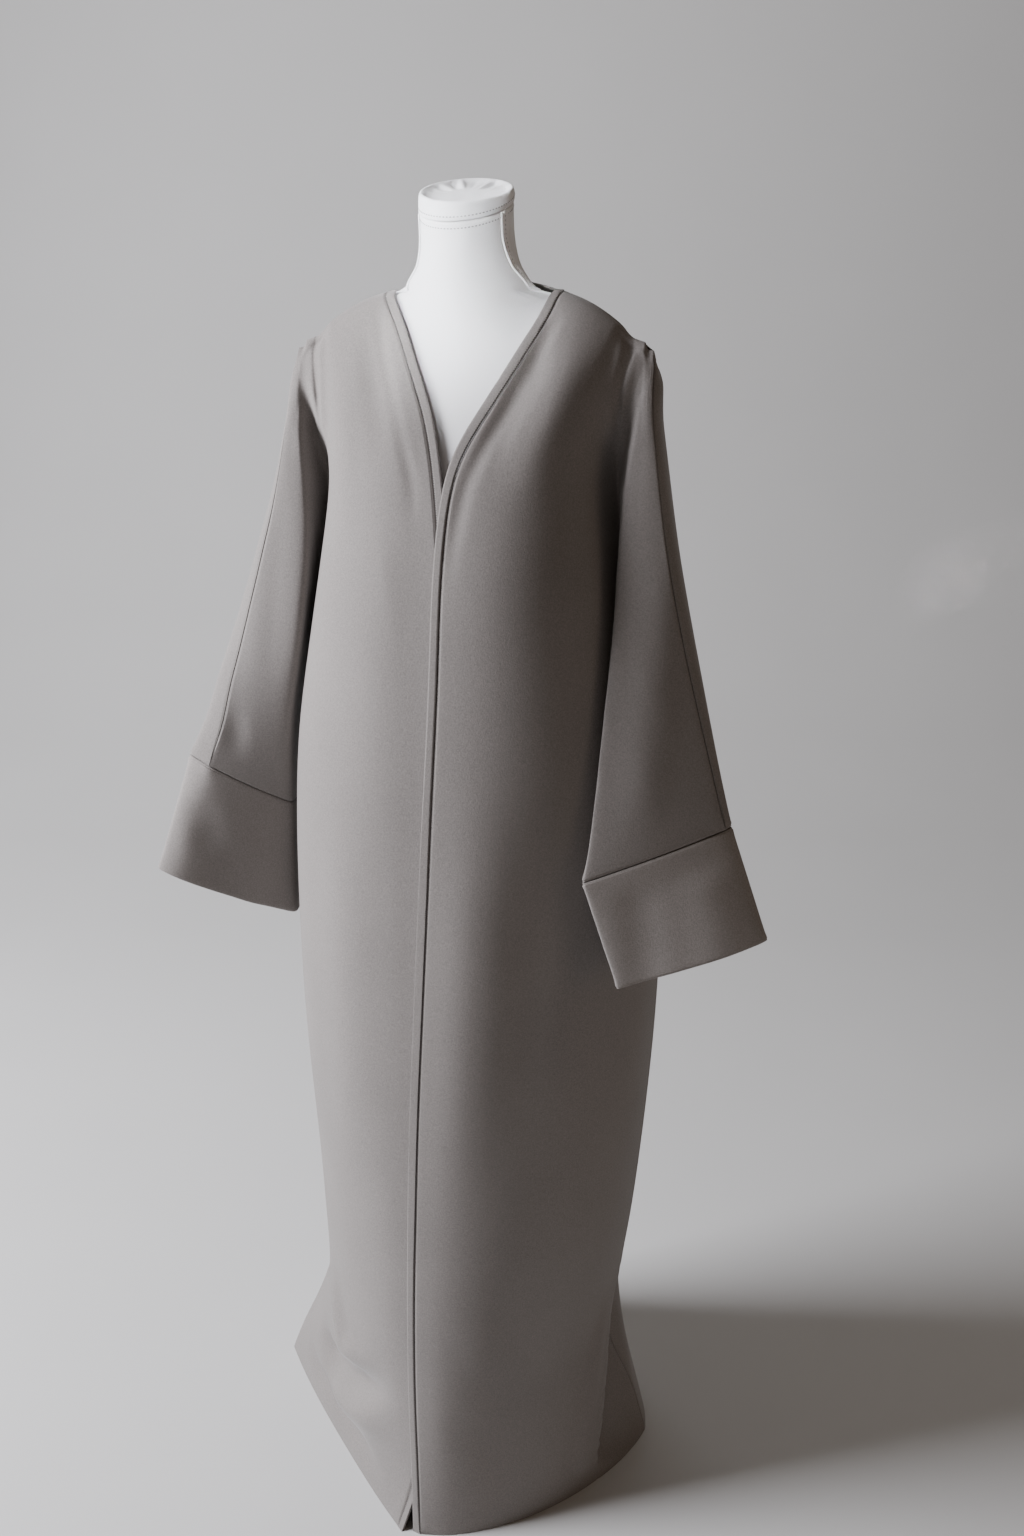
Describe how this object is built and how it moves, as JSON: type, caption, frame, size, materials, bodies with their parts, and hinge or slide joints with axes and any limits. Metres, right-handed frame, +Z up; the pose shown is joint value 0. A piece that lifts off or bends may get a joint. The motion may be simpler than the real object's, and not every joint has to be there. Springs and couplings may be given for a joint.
{
  "type": "abaya cloak on dress form",
  "caption": "Floor-length open-front abaya cloak with a V neck, edge bands and deep-cuffed grown-on sleeves, worn by a limbless dress form on a pole and round base.",
  "frame": {"origin": "on the floor under the form's pole, at the centre of the base's underside", "axes": "+Z up along the pole, -Y the way the open front faces, +X the wearer's left"},
  "size_m": [0.716, 0.4416, 1.5628],
  "materials": {
    "crepe_back": "matte soft-napped crepe, warm grey-brown",
    "crepe_neck_band": "matte soft-napped crepe, warm grey-brown",
    "crepe_band_left": "matte soft-napped crepe, warm grey-brown",
    "crepe_band_right": "matte soft-napped crepe, warm grey-brown",
    "crepe_cuff_left": "matte soft-napped crepe, warm grey-brown",
    "crepe_cuff_right": "matte soft-napped crepe, warm grey-brown",
    "crepe_front_left": "matte soft-napped crepe, warm grey-brown",
    "crepe_front_right": "matte soft-napped crepe, warm grey-brown",
    "jersey_torso": "matte off-white jersey",
    "jersey_cap": "matte off-white jersey",
    "steel_pole": "satin",
    "steel_base": "satin"
  },
  "bodies": {
    "root": {"back": "crepe_back", "band_back_neck": "crepe_neck_band", "band_left": "crepe_band_left", "band_right": "crepe_band_right", "cuff_left": "crepe_cuff_left", "cuff_right": "crepe_cuff_right", "front_left": "crepe_front_left", "front_right": "crepe_front_right", "form_torso": "jersey_torso", "form_neck_cap": "jersey_cap", "form_pole": "steel_pole", "form_base": "steel_base"}
  },
  "joints": []
}
